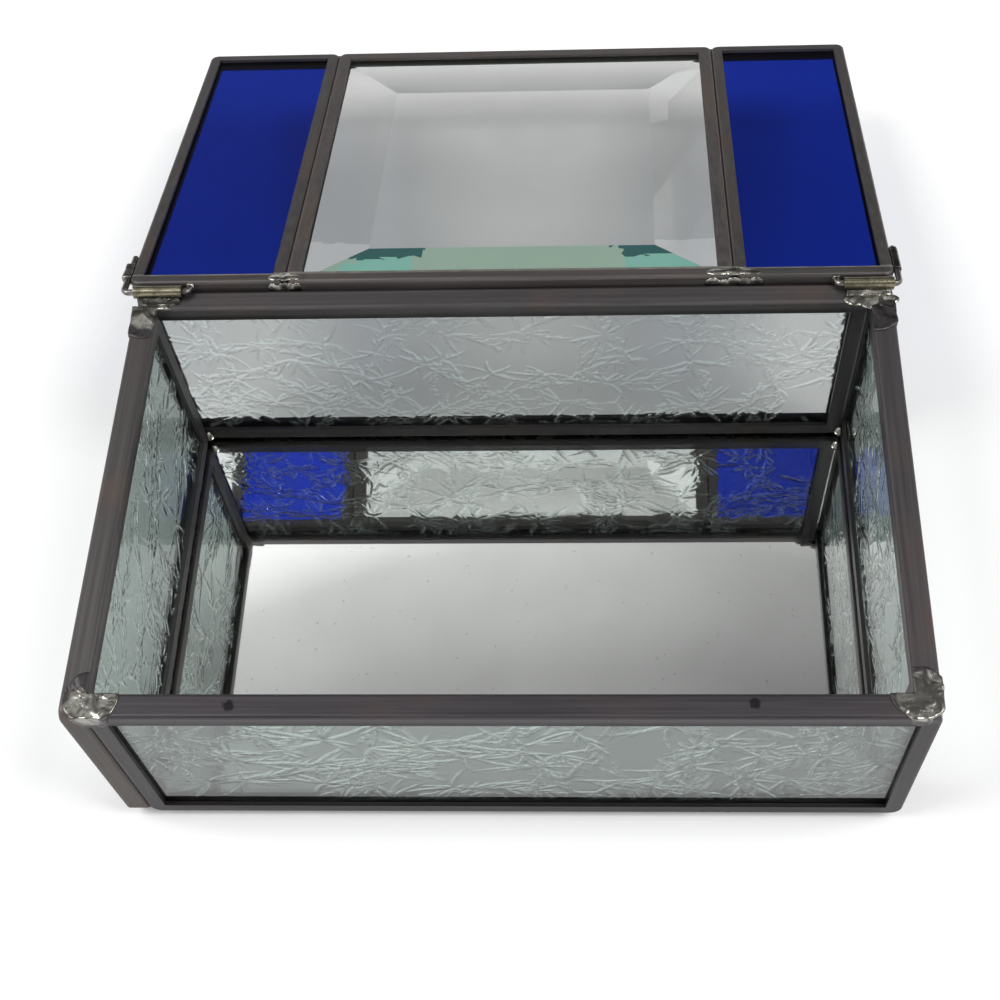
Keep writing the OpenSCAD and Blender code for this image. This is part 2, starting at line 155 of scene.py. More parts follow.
class Tree:
    """The node tree of a material or a world, built from short calls"""

    def __init__(self, owner, output="OutputMaterial"):
        owner.use_nodes = True
        self.owner = owner
        self.nodes = owner.node_tree.nodes
        self.links = owner.node_tree.links
        self.nodes.clear()
        self.output = self.node(output)

    def node(self, kind, inputs=None, **attributes):
        """A new node, with its attributes set and its inputs fed"""
        made = self.nodes.new("ShaderNode" + kind)
        for key, value in attributes.items():
            setattr(made, key, value)
        for key, value in (inputs or {}).items():
            self.feed(made.inputs[key], value)
        return made

    def feed(self, socket, value):
        """Links a socket or a node's first output, or sets a plain value"""
        if isinstance(value, bpy.types.NodeSocket):
            self.links.new(value, socket)
        elif isinstance(value, bpy.types.Node):
            self.links.new(value.outputs[0], socket)
        elif hasattr(value, "__len__") and len(value) == 3 and len(socket.default_value) == 4:
            socket.default_value = (*value, 1.0)
        else:
            socket.default_value = value

    def math(self, operation, *values):
        """The result of a sum on numbers"""
        made = self.node("Math", operation=operation)
        for i, value in enumerate(values):
            self.feed(made.inputs[i], value)
        return made.outputs[0]

    def vector_math(self, operation, *values):
        """The result of a sum on places or colours, which is a number for a length or a distance"""
        made = self.node("VectorMath", operation=operation)
        for i, value in enumerate(values):
            self.feed(made.inputs["Scale" if operation == "SCALE" and i else i], value)
        return made.outputs["Value" if operation in ("LENGTH", "DISTANCE") else "Vector"]

    def mix(self, factor, a, b):
        """Colour or place a where the factor is 0, and b where it is 1"""
        made = self.node("Mix", data_type="RGBA")
        for key, value in (("Factor", factor), ("A", a), ("B", b)):
            socket = next(s for s in made.inputs if s.name == key and s.enabled)
            self.feed(socket, value)
        return next(s for s in made.outputs if s.enabled)

    def ramp(self, factor, low, high, to_low=0.0, to_high=1.0):
        """A smooth step from to_low, up to the low factor, to to_high, from the high one on"""
        made = self.node("MapRange", {"Value": factor, "From Min": low, "From Max": high,
                                      "To Min": to_low, "To Max": to_high})
        made.interpolation_type = "SMOOTHSTEP"
        return made.outputs[0]

    def noise(self, where, scale, detail=3.0, roughness=0.55, distortion=0.0):
        """A cloudy level, from 0 to 1, at each place"""
        made = self.node("TexNoise", {"Vector": where, "Scale": scale, "Detail": detail,
                                      "Roughness": roughness, "Distortion": distortion})
        return made.outputs["Fac"]

    def bump(self, height, distance, strength):
        """The surface's normal, tilted as if it rose and fell with a height"""
        made = self.node("Bump", {"Height": height, "Distance": distance, "Strength": strength})
        return made.outputs["Normal"]

    def position(self):
        """Places on the piece, in metres"""
        return self.node("TexCoord").outputs["Object"]

    def squeezed(self, where, axis, share):
        """Places squeezed along one axis, so that a noise is drawn out along it"""
        return self.vector_math("MULTIPLY", where, tuple(share if i == axis else 1.0 for i in range(3)))

    def facing(self):
        """0 where the surface is met square on, rising to 1 at a grazing slant"""
        return self.node("LayerWeight", {"Blend": 0.5}).outputs["Facing"]

    def finish(self, shader):
        """Makes the shader the surface, and returns the material or world"""
        self.feed(self.output.inputs["Surface"], shader)
        return self.owner


def material_tree(name):
    """The empty node tree of a new material"""
    return Tree(bpy.data.materials.new(name))


def scaled(values, factor):
    """A colour or a place times a factor"""
    return [value * factor for value in values]


def let_lamps_through(tree, glass, tint):
    """Glass as seen, and a plain tint for the rays that only carry light from the lamps and the sky"""
    clear = tree.node("BsdfTransparent", {"Color": tint})
    rays = tree.node("LightPath")
    shader = glass
    for kind in ("Is Diffuse Ray", "Is Shadow Ray"):
        shader = tree.node("MixShader", {0: rays.outputs[kind], 1: shader, 2: clear})
    return tree.finish(shader)


# ---------------------------------------------------------------- metals

def stained(tree, base, here, places, colour):
    """The patina's base colour, with a dark round stain at each place"""
    wander, core, reach = 1.6 * MM, 1.6 * MM, 2.3 * MM
    for place in places:
        uneven = tree.math("MULTIPLY", tree.noise(here, scale=900.0, detail=2.0), wander)
        away = tree.math("ADD", tree.vector_math("DISTANCE", here, place), uneven)
        base = tree.mix(tree.ramp(away, core, reach), scaled(colour, 0.25), base)
    return base


def painted_edge_highlight(tree, base, here, depth, edge):
    """The patina's base colour, with an uneven painted highlight in the solder's colour along an edge at
    one depth
    """
    core, reach = 0.25 * MM, 0.5 * MM
    away = tree.math("ABSOLUTE", tree.math("SUBTRACT", depth, edge))
    uneven = tree.math("MULTIPLY", tree.noise(here, scale=260.0, detail=2.0), 1.5)
    # Painted highlight: the solder's pale colour along the edge, in place of light caught by the rounded
    # lip
    bare = tree.math("MULTIPLY", tree.ramp(away, core, reach, 1.0, 0.0), uneven)
    return tree.mix(bare, base, tuple(bpy.context.scene.casket_metal.solder_colour))


def strip_metal(node, run, seed, shade, stains=(), highlight_edge=None):
    """Darkened channel strip: faint streaks along each run of the strip and brown smudges, with painted
    shade on a wall strip's face below its top. Stains are places where the patina puddled. The last
    argument is how far back an edge lies that gets a painted highlight."""
    end_length = 5.0 * MM   # of a run, where the strip turns the pane's corner
    squeeze = 0.02          # how far the streaks are drawn out
    # Painted shade below a wall's top: where its face is painted at its darkest, and where the painted
    # shade starts
    dark_below, light_above = 3.5 * MM, 1.5 * MM
    low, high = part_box(node)
    on_wall = not node.startswith("lid")
    colour = [c * k for c, k in zip(bpy.context.scene.casket_metal.strip_colour, shade)]
    brown = (colour[0] * 1.30, colour[1] * 1.08, colour[2] * 0.92)
    tree = material_tree(f"strip_{node}")
    here = tree.position()
    apart = tree.node("SeparateXYZ", {0: here})
    moved = tree.vector_math("ADD", here, scaled(STRIP_SHIFT, seed))
    middle, half = (low[run] + high[run]) / 2, (high[run] - low[run]) / 2
    from_middle = tree.math("ABSOLUTE", tree.math("SUBTRACT", apart.outputs[run], middle))
    at_end = tree.math("GREATER_THAN", from_middle, half - end_length)
    drawn_out = tree.mix(at_end, tree.squeezed(moved, run, squeeze),
                         tree.squeezed(moved, 2 if on_wall else 1, squeeze))
    streaks = tree.noise(drawn_out, scale=1100.0, detail=4.0, roughness=0.6)
    smudges = tree.noise(moved, scale=38.0, detail=3.0, roughness=0.5, distortion=0.3)
    specks = tree.noise(moved, scale=1500.0, detail=2.0, roughness=0.6)
    base = tree.mix(tree.ramp(streaks, 0.25, 0.75), scaled(colour, 0.82), scaled(colour, 1.22))
    base = tree.mix(tree.ramp(smudges, 0.50, 0.70, 0.0, 0.7), base, brown)
    base = tree.mix(tree.ramp(specks, 0.70, 0.78, 0.0, 0.5), base, scaled(colour, 2.4))
    base = stained(tree, base, here, stains, colour)
    if on_wall:
        # Painted shade on a wall strip's face below its top, a little less at the ends of each run
        level = tree.ramp(apart.outputs[2], high.z - dark_below, high.z - light_above, 0.40, 1.0)
        level = tree.math("ADD", level, tree.math("MULTIPLY", at_end, 0.18))
        base = tree.vector_math("SCALE", base, level)
    # Painted highlight along a lid strip's lip edge
    if highlight_edge is not None:
        base = painted_edge_highlight(tree, base, moved, apart.outputs[1], highlight_edge)
    rough = tree.math("ADD", tree.ramp(streaks, 0.3, 0.7, 0.36, 0.46),
                      tree.math("MULTIPLY", smudges, 0.10))
    return tree.finish(tree.node("BsdfPrincipled", {
        "Base Color": base, "Roughness": rough, "Metallic": 0.80,
        "Normal": tree.bump(streaks, 0.02 * MM, 0.3)}))


def under_patina(tree, base, rough, here, centre, reach, colour):
    """Colour and roughness of solder that is bare round a centre, with painted shade of a hollow there, and
    under the same patina as the strip beyond its reach"""
    away = tree.vector_math("SUBTRACT", here, centre)
    away = tree.vector_math("LENGTH", tree.vector_math("MULTIPLY", away, [1 / r for r in reach]))
    ragged = tree.math("MULTIPLY", tree.noise(here, scale=320.0, detail=3.0), 0.4)
    away = tree.math("ADD", away, ragged)
    # Painted shade: darker in a hollow round the middle of the blob
    hollow = tree.ramp(away, 0.45, 0.65, 0.30, 1.0)
    patina = tree.ramp(away, 1.10, 1.26)
    base = tree.mix(hollow, scaled(colour, 0.4), base)
    base = tree.mix(patina, base, scaled(bpy.context.scene.casket_metal.strip_colour, 1.15))
    return base, tree.math("ADD", rough, tree.math("MULTIPLY", patina, 0.14))


def solder_metal(name, shade=1.0, centre=None, reach=(), relief=0.5 * MM):
    """Solder: smooth where it ran, dull where flux burnt. It is bare all over, or only within its
    reach from a centre. Relief is how deep its swirls look."""
    colour = scaled(bpy.context.scene.casket_metal.solder_colour, shade)
    tree = material_tree(name)
    here = tree.position()
    swirls = tree.noise(here, scale=215.0, detail=2.0, roughness=0.5, distortion=0.8)
    pits = tree.noise(here, scale=1100.0, detail=2.0, roughness=0.6)
    base = tree.mix(tree.ramp(swirls, 0.42, 0.58), colour, scaled(colour, 0.34))
    base = tree.mix(tree.ramp(pits, 0.62, 0.74, 0.0, 0.6), base, scaled(colour, 0.3))
    rough = tree.math("ADD", tree.ramp(swirls, 0.4, 0.7, 0.18, 0.30), tree.math("MULTIPLY", pits, 0.08))
    if centre is not None:
        base, rough = under_patina(tree, base, rough, here, centre, reach, colour)
    height = tree.math("ADD", tree.math("MULTIPLY", swirls, 0.94), tree.math("MULTIPLY", pits, 0.06))
    return tree.finish(tree.node("BsdfPrincipled", {
        "Base Color": base, "Roughness": rough, "Metallic": 1.0,
        "Normal": tree.bump(height, relief, 0.6)}))


def drawn_metal(name, colour, along=0):
    """Drawn tube or wire: fine lines along its length, dulled in patches"""
    tree = material_tree(name)
    here = tree.position()
    lines = tree.noise(tree.squeezed(here, along, 0.03), scale=2600.0, detail=3.0, roughness=0.6)
    patches = tree.noise(here, scale=350.0, detail=3.0, roughness=0.6)
    base = tree.mix(tree.ramp(patches, 0.40, 0.65), colour, scaled(colour, 0.45))
    rough = tree.math("ADD", tree.ramp(patches, 0.4, 0.7, 0.20, 0.34), tree.math("MULTIPLY", lines, 0.1))
    return tree.finish(tree.node("BsdfPrincipled", {
        "Base Color": base, "Roughness": rough, "Metallic": 1.0,
        "Normal": tree.bump(lines, 0.02 * MM, 0.4)}))


# ---------------------------------------------------------------- glass and mirror

def chipped_glass(wall, seed, look):
    """Clear greenish glass of a wall, with its look from the table of walls"""
    settings = bpy.context.scene.casket_glass
    lamp_tint = (0.74, 0.77, 0.755)
    tree = material_tree(f"{wall}_chipped_glass")
    here = tree.vector_math("ADD", tree.position(), scaled(PANE_SHIFT, seed))
    # Painted shade and light: each wall's own levels of the two colours stand in for how dark or bright the
    # surroundings seen through it are
    colour = tree.mix(tree.ramp(tree.facing(), *look["turn"]),
                      [c * k for c, k in zip(settings.face_tint, look["square_on"])],
                      scaled(settings.slant_tint, look["slanted"]))
    scratches = tree.noise(here, scale=900.0, detail=3.0, roughness=0.6, distortion=1.5)
    rough = tree.ramp(scratches, 0.45, 0.75, 0.01, 0.08)
    # Broken flake edges turn paler, rougher and less clear: partly frosted glass, partly a painted
    # highlight
    broken = tree.node("Attribute", attribute_name="broken_edge").outputs["Fac"]
    broken = tree.math("MULTIPLY", broken, look["frost"])
    glass = tree.node("BsdfPrincipled", {
        "Base Color": tree.mix(broken, colour, scaled(settings.broken_colour, look["pale"])),
        "Roughness": tree.math("ADD", rough, tree.math("MULTIPLY", broken, 0.25)), "IOR": look["ior"],
        "Transmission Weight": tree.math("SUBTRACT", 1.0, tree.math("MULTIPLY", broken, 0.6))})
    return let_lamps_through(tree, glass, lamp_tint)


def tinted_glass(name, tint, lamp_tint, ior=1.52, ripple=0.02 * MM, slant=1.0):
    """Polished glass with a faint ripple. Slant is how much of its light is left on a slant."""
    tree = material_tree(name)
    here = tree.position()
    waves = tree.noise(here, scale=28.0, detail=2.0, roughness=0.5)
    cloudy = tree.ramp(tree.noise(here, scale=40.0, detail=2.0), 0.3, 0.7)
    uneven = tree.mix(cloudy, scaled(tint, 0.94), tint)
    dimmed = tree.vector_math("MULTIPLY", uneven, (slant,) * 3)
    glass = tree.node("BsdfPrincipled", {
        "Base Color": tree.mix(tree.ramp(tree.facing(), 0.08, 0.26), uneven, dimmed),
        "Roughness": 0.0, "IOR": ior, "Transmission Weight": 1.0,
        "Normal": tree.bump(waves, ripple, 0.3)})
    return let_lamps_through(tree, glass, lamp_tint)


def bevel_glass(tint, painted_reflection_tint, lamp_tint):
    """A bevel: clear glass, with painted reflection: on the hinge side opaque green patches where it is met
    steeply from inside, in place of the pane's mirrored inside, and green along the far rim and on a slant"""
    bevel_width = 17 * MM
    # From the pane's far edge, where the painted green reflection along the rim starts
    rim_from, rim_to = 4.6 * MM, 4.2 * MM
    # As shares of half the pane's width: the middle of the painted reflection patches, and where each
    # starts and ends
    patch_middle, patch_from, patch_to = 0.04, 0.50, 0.86
    # As shares of the bevel's width: where a painted reflection patch turns darker, and where the bevel
    # ends
    dark_from, bevel_end = 0.70, 1.08
    # Colours of the painted reflection: in the patches, along the far rim and on a slant
    dark_green, mid_green = (0.055, 0.165, 0.165), (0.44, 0.60, 0.49)
    rim_green, slant_green, near_clear = (0.38, 0.55, 0.47), (0.52, 0.66, 0.60), (1.0, 1.0, 0.97)
    low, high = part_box("lid_centre_pane")
    tree = material_tree("bevel_glass")
    here = tree.position()
    apart = tree.node("SeparateXYZ", {0: here})
    cells = tree.node("TexVoronoi", {"Vector": here, "Scale": 240.0}, feature="F1")
    jag = tree.node("SeparateColor", {0: cells.outputs["Color"]}).outputs[0]
    jag = tree.math("MULTIPLY", jag, 0.10)
    middle, half = (low.x + high.x) / 2, (high.x - low.x) / 2
    across = tree.math("DIVIDE", tree.math("SUBTRACT", apart.outputs[0], middle), half)
    side = tree.math("ABSOLUTE", tree.math("SUBTRACT", across, patch_middle))
    side = tree.math("ADD", side, jag)
    up = tree.math("DIVIDE", tree.math("SUBTRACT", apart.outputs[1], low.y), bevel_width)
    up = tree.math("ADD", up, jag)

    patch = tree.math("MULTIPLY", tree.math("GREATER_THAN", side, patch_from),
                      tree.math("LESS_THAN", side, patch_to))
    dark_patch = tree.math("MULTIPLY", patch, tree.math("GREATER_THAN", up, dark_from))
    green = tree.mix(patch, mid_green, tuple(painted_reflection_tint))
    green = tree.mix(dark_patch, green, dark_green)
    near = tree.math("LESS_THAN", up, bevel_end)
    facing = tree.facing()
    at_rim = tree.ramp(apart.outputs[1], high.y - rim_from, high.y - rim_to)
    clear = tree.mix(at_rim, scaled(tint, 0.78), rim_green)
    clear = tree.mix(tree.ramp(facing, 0.22, 0.40), clear, slant_green)
    clear = tree.mix(near, clear, near_clear)
    inside = tree.node("NewGeometry").outputs["Backfacing"]
    # Painted reflection: where the bevel is met steeply from inside, the glass turns into opaque green
    steep = tree.math("MULTIPLY", tree.ramp(facing, 0.19, 0.23), tree.math("MULTIPLY", near, inside))
    glass = tree.node("BsdfPrincipled", {
        "Base Color": tree.mix(steep, clear, green), "Roughness": 0.0, "IOR": 1.52,
        "Transmission Weight": tree.math("SUBTRACT", 1.0, steep)})
    return let_lamps_through(tree, glass, lamp_tint)


def ground_edge():
    """The pane's ground rim, pale green under the strip"""
    tree = material_tree("ground_edge")
    frost = tree.noise(tree.position(), scale=3000.0, detail=2.0)
    return tree.finish(tree.node("BsdfPrincipled", {
        "Base Color": tree.mix(frost, (0.30, 0.62, 0.54), (0.50, 0.82, 0.74)), "Roughness": 0.6}))


def silver():
    """Silvering, seen through the mirror's glass"""
    tree = material_tree("silver")
    spots = tree.ramp(tree.noise(tree.position(), scale=700.0, detail=2.0), 0.70, 0.74)
    return tree.finish(tree.node("BsdfPrincipled", {
        "Base Color": tree.mix(spots, (0.90, 0.90, 0.89), (0.72, 0.72, 0.71)),
        "Roughness": 0.015, "Metallic": 1.0}))


def matt_paint():
    """Protective paint on the back of the mirror, with a roller's stipple"""
    tree = material_tree("backing_paint")
    here = tree.position()
    stipple = tree.noise(here, scale=900.0, detail=3.0)
    patches = tree.ramp(tree.noise(here, scale=30.0, detail=3.0), 0.3, 0.7)
    return tree.finish(tree.node("BsdfPrincipled", {
        "Base Color": tree.mix(patches, (0.10, 0.105, 0.11), (0.14, 0.145, 0.15)),
        "Roughness": tree.ramp(stipple, 0.3, 0.7, 0.5, 0.7),
        "Normal": tree.bump(stipple, 0.05 * MM, 0.4)}))


# ---------------------------------------------------------------- mesh helpers

def new_object(name, mesh, materials, body, slot, *nodes):
    """Puts a mesh in the scene as a piece that rides on a body and stands for CAD nodes"""
    piece = bpy.data.objects.new(name, mesh)
    bpy.context.scene.collection.objects.link(piece)
    for material in materials:
        mesh.materials.append(material)
    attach(piece, body)
    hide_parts(*nodes)


def finish_node(node, *materials):
    """Gives a CAD node its finish"""
    mesh = NODES[node].data
    mesh.materials.clear()
    for material in materials:
        mesh.materials.append(material)


def modified_mesh(mesh, *modifiers):
    """The mesh after some modifiers, each given by its kind and its settings"""
    holder = bpy.data.objects.new("holder", mesh)
    bpy.context.scene.collection.objects.link(holder)
    for kind, settings in modifiers:
        modifier = holder.modifiers.new(kind.lower(), kind)
        for key, value in settings.items():
            setattr(modifier, key, value)
    depsgraph = bpy.context.evaluated_depsgraph_get()
    changed = bpy.data.meshes.new_from_object(holder.evaluated_get(depsgraph))
    bpy.data.objects.remove(holder)
    return changed


# ---------------------------------------------------------------- chipped panes

def lay_flake(depth, step, root, facing, bend, length, width):
    """Cuts one flake: a curved sharp edge, with a shallow hollow rising away from one side of it"""
    sharpness = 4.5                 # how much steeper it rises behind the edge than in the hollow
    root_taper, tip_taper = 8, 2.5  # how soon it is at its full depth from its root and its tip
    reach = length + width
    i0, j0 = (max(0, int((place - reach) / step)) for place in root)
    i1, j1 = (max(0, int((place + reach) / step)) for place in root)
    part = depth[i0:i1, j0:j1]
    if part.size == 0:
        return
    u, v = np.meshgrid(np.arange(i0, i0 + part.shape[0]) * step - root[0],
                       np.arange(j0, j0 + part.shape[1]) * step - root[1], indexing="ij")
    along = (u * math.cos(facing) + v * math.sin(facing)) / length
    aside = v * math.cos(facing) - u * math.sin(facing) - bend * length * along ** 2
    narrowed = width * np.clip(1.2 - along, 0.3, 1.0)
    aside = aside * math.copysign(1, bend) / narrowed
    hollow = np.clip(1.0 - aside, 0, 1) ** 2 * (aside >= 0)
    hollow = hollow + np.clip(1.0 + aside * sharpness, 0, 1) * (aside < 0)
    taper = np.clip(along * root_taper, 0, 1) * np.clip((1 - along) * tip_taper, 0, 1)
    np.maximum(part, hollow * taper, out=part)


def lay_fern(depth, step, root, grain, rng):
    """Cuts a curved stem, a burst of flakes where it starts, and flakes that branch off along it"""
    settings = bpy.context.scene.casket_glass
    branch_gap = 1.5 * MM
    size, width = settings.flake_length * grain, settings.flake_width
    facing, turn = rng.uniform(0, 2 * math.pi), rng.choice((-1, 1))
    stem = settings.fern_length * grain * rng.uniform(0.5, 1.2)
    bend = turn * rng.uniform(0.12, 0.38)
    lay_flake(depth, step, root, facing, bend, stem, width * 0.8)
    for _ in range(int(rng.integers(5, 10))):
        lay_flake(depth, step, root, facing + rng.uniform(0.5, 5.8),
                  rng.choice((-1, 1)) * rng.uniform(0.25, 0.60),
                  size * rng.uniform(0.5, 1.3), width * rng.uniform(0.6, 1.3))
    ahead = np.array((math.cos(facing), math.sin(facing)))
    aside = np.array((-math.sin(facing), math.cos(facing)))
    for along in np.arange(0.12, 0.95, branch_gap / stem):
        side = rng.choice((-1, 1))
        start = root + stem * along * ahead + bend * stem * along ** 2 * aside
        lay_flake(depth, step, start, facing + 2 * bend * along + side * rng.uniform(0.35, 0.9),
                  -side * rng.uniform(0.2, 0.5),
                  size * rng.uniform(0.35, 1.0) * (1.1 - 0.6 * along), width * rng.uniform(0.6, 1.2))


def flaked(width, height, step, seed, grain):
    """Depth of a pane's flakes, from 0 to 1, on a grid. Grain makes them all larger or smaller."""
    rng = np.random.default_rng(seed)
    depth = np.zeros((round(width / step) + 1, round(height / step) + 1))
    gap = bpy.context.scene.casket_glass.fern_spacing * grain ** 0.8
    for x in np.arange(-gap, width + gap, gap):
        for y in np.arange(-gap, height + gap, gap):
            root = np.array((x + rng.uniform(0, gap), y + rng.uniform(0, gap)))
            lay_fern(depth, step, root, grain, rng)
    return depth


def block_mesh(name, shape, face, back):
    """A closed mesh: a grid of points for its face, a plain back with the face's border, and sides"""
    index = np.arange(shape[0] * shape[1]).reshape(shape)
    quads = np.stack([index[:-1, :-1], index[1:, :-1], index[1:, 1:], index[:-1, 1:]], -1)
    quads = quads.reshape(-1, 4)
    border = np.concatenate([index[:-1, 0], index[-1, :-1], index[:0:-1, -1], index[0, :0:-1]])
    behind = len(face) + np.arange(border.size)
    sides = np.stack([border, behind, np.roll(behind, -1), np.roll(border, -1)], -1)
    mesh = bpy.data.meshes.new(name)
    mesh.from_pydata(np.concatenate([face, back[border]]).tolist(), [],
                     quads.tolist() + sides.tolist() + [behind.tolist()])
    bm = bmesh.new()
    bm.from_mesh(mesh)
    for number, polygon in enumerate(bm.faces):
        polygon.smooth = number < len(quads)
    bmesh.ops.recalc_face_normals(bm, faces=bm.faces)
    bm.to_mesh(mesh)
    bm.free()
    return mesh


def relief_pane(name, node, run, inner, seed, grain):
    """A wall pane with flakes pulled out of its inner face, fading out under the strip. It marks
    the steep sides of the flakes as broken edges."""
    settings = bpy.context.scene.casket_glass
    under_strip, fade_width = 2.4 * MM, 1.0 * MM
    broken_from, broken_range = 0.13, 0.20      # slopes at which glass starts to look broken
    low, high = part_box(node)
    thin_axis = 1 - run
    width, height = high[run] - low[run], high.z - low.z
    flakes = flaked(width, height, settings.relief_step, seed, grain)
    u, v = np.meshgrid(np.linspace(0, width, flakes.shape[0]), np.linspace(0, height, flakes.shape[1]),
                       indexing="ij")
    from_edge = np.minimum.reduce([u, v, width - u, height - v])
    depth = settings.flake_depth * np.clip((from_edge - under_strip) / fade_width, 0, 1) * flakes
    inner_face, outer_face = (high, low) if inner > 0 else (low, high)

    def places(thin):
        at = np.empty((u.size, 3))
        at[:, run], at[:, thin_axis], at[:, 2] = low[run] + u.ravel(), thin, low.z + v.ravel()
        return at

    face = places((inner_face[thin_axis] - inner * depth).ravel())
    mesh = block_mesh(name, flakes.shape, face, places(outer_face[thin_axis]))
    slope = np.hypot(*np.gradient(depth, settings.relief_step))
    broken = np.zeros(len(mesh.vertices), dtype=np.float32)
    broken[:len(face)] = np.clip((slope.ravel() - broken_from) / broken_range, 0, 1)
    mesh.attributes.new("broken_edge", "FLOAT", "POINT").data.foreach_set("value", broken)
    return mesh


# ---------------------------------------------------------------- lid and solder shapes

def lid_opening():
    """The turn that takes the lid from closed to the way it is stored, open"""
    joint = next(j for j in frame["joints"] if j["name"] == "lid_hinge")
    pivot = Vector(joint["pos_m"])
    turn = Matrix.Rotation(-math.radians(joint["range_deg"][1]), 4, Vector(joint["axis"]))
    return Matrix.Translation(pivot) @ turn @ Matrix.Translation(-pivot)


def shut_box(node):
    """A lid node's box when the lid is shut"""
    shut = lid_opening().inverted()
    places = [shut @ vertex.co for vertex in NODES[node].data.vertices]
    return (Vector([min(p[i] for p in places) for i in range(3)]),
            Vector([max(p[i] for p in places) for i in range(3)]))


def fused_mesh(node, beads):
    """A CAD node and extra beads fused into one softened skin. A bead is an ellipsoid's matrix."""
    bm = bmesh.new()
    bm.from_mesh(NODES[node].data)
    for bead in beads:
        bmesh.ops.create_icosphere(bm, subdivisions=3, radius=1.0, matrix=bead)
    mesh = bpy.data.meshes.new("fused")
    bm.to_mesh(mesh)
    bm.free()
    grain = bpy.context.scene.casket_metal.solder_grain
    return modified_mesh(mesh, ("REMESH", {"mode": "VOXEL", "voxel_size": grain}),
                         ("SMOOTH", {"iterations": 4}))


def flowed_solder(name, node, lumps, top_lumps, seed, beads=()):
    """Solder that has run: the CAD shape and extra beads in one skin, made lumpy on its sides and
    its top"""
    coarse_scale, fine_scale = 380.0, 950.0
    coarse_share, fine_share = 0.95, 0.20
    top_tilt = 0.6      # height of a normal that counts as looking up
    kept_faces = 0.35   # share of the faces that is kept
    mesh = fused_mesh(node, beads)
    offset = Vector(scaled(SOLDER_SHIFT, seed))
    moved = []
    for vertex in mesh.vertices:
        coarse = noise.noise(vertex.co * coarse_scale + offset)
        fine = noise.noise(vertex.co * fine_scale + offset)
        size = top_lumps if vertex.normal.z > top_tilt else lumps
        moved.append(vertex.co + vertex.normal * size * (coarse_share * coarse + fine_share * fine))
    for vertex, place in zip(mesh.vertices, moved):
        vertex.co = place
    mesh = modified_mesh(mesh, ("DECIMATE", {"ratio": kept_faces}))
    mesh.name = name
    mesh.materials.clear()
    mesh.shade_smooth()
    return mesh


def bead(place, radii):
    """An ellipsoid's matrix"""
    return Matrix.LocRotScale(Vector(place), None, Vector(radii))


# ---------------------------------------------------------------- operators

# Each wall's pane: the axis it runs along, which way its inner face looks along the other, how much
# of the two glass colours it keeps, where the one turns into the other, how strong and how pale the
# broken edges of its flakes are, how far it bends light, and how large its flakes are
# The colour levels differ from wall to wall as painted shade and light: each wall is darker by the shade
# seen through it, the back wall much brighter on the slant at which the mirror shows it, and the pale
# broken edges are partly a painted highlight
WALLS = {
    "front": dict(run=0, inner=1, square_on=(0.68, 0.75, 0.725), slanted=0.64, turn=(0.40, 0.70),
                  frost=1.3, pale=1.45, ior=1.52, grain=1.7),
    "back": dict(run=0, inner=-1, square_on=(0.72, 0.68, 0.695), slanted=3.0, turn=(0.425, 0.455),
                 frost=0.4, pale=0.2, ior=1.36, grain=1.15),
    "left": dict(run=1, inner=1, square_on=(0.80, 0.87, 0.85), slanted=0.36, turn=(0.40, 0.70),
                 frost=1.1, pale=1.0, ior=1.45, grain=1.4),
    "right": dict(run=1, inner=-1, square_on=(0.86, 0.93, 0.91), slanted=0.50, turn=(0.40, 0.70),
                  frost=1.1, pale=1.0, ior=1.45, grain=1.4),
}


class CASKET_OT_wall_panes(bpy.types.Operator):
    """Replaces the four wall panes with chipped glass"""

    bl_idname = "casket.wall_panes"
    bl_label = "Wall Panes"

    def execute(self, context):
        for seed, (wall, look) in enumerate(WALLS.items(), start=1):
            name, node = f"{wall}_chipped_pane", f"{wall}_glass"
            mesh = relief_pane(name, node, look["run"], look["inner"], seed, look["grain"])
            new_object(name, mesh, [chipped_glass(wall, seed, look)], "box", "chip_glass", node)
        return {"FINISHED"}


class CASKET_OT_lid_panes(bpy.types.Operator):
    """Gives the lid's three panes their glass"""

    bl_idname = "casket.lid_panes"
    bl_label = "Lid Panes"

    blue_lamp_tint, clear_lamp_tint = (0.28, 0.32, 0.44), (0.71, 0.72, 0.72)
    flat_lean, bevel_lean = 3, 45   # degrees that a face leans at most, if it is flat or a bevel

    def execute(self, context):
        settings = context.scene.casket_glass
        blue = tinted_glass("blue_glass", tuple(settings.blue_tint), self.blue_lamp_tint,
                            ior=1.28, ripple=0.05 * MM, slant=0.56)
        for side in ("left", "right"):
            finish_node(f"lid_{side}_pane", blue)
        tint = tuple(settings.clear_tint)
        clear = tinted_glass("bevelled_glass", tint, self.clear_lamp_tint, ripple=0.01 * MM, slant=0.92)
        bevel = bevel_glass(tint, settings.bevel_tint, self.clear_lamp_tint)
        finish_node("lid_centre_pane", clear, bevel, ground_edge())
        square_on = lid_opening().to_3x3() @ Vector((0, 0, 1))
        for face in NODES["lid_centre_pane"].data.polygons:
            lean = math.degrees(math.acos(min(1.0, abs(face.normal.dot(square_on)))))
            face.material_index = 0 if lean < self.flat_lean else 1 if lean < self.bevel_lean else 2
        return {"FINISHED"}


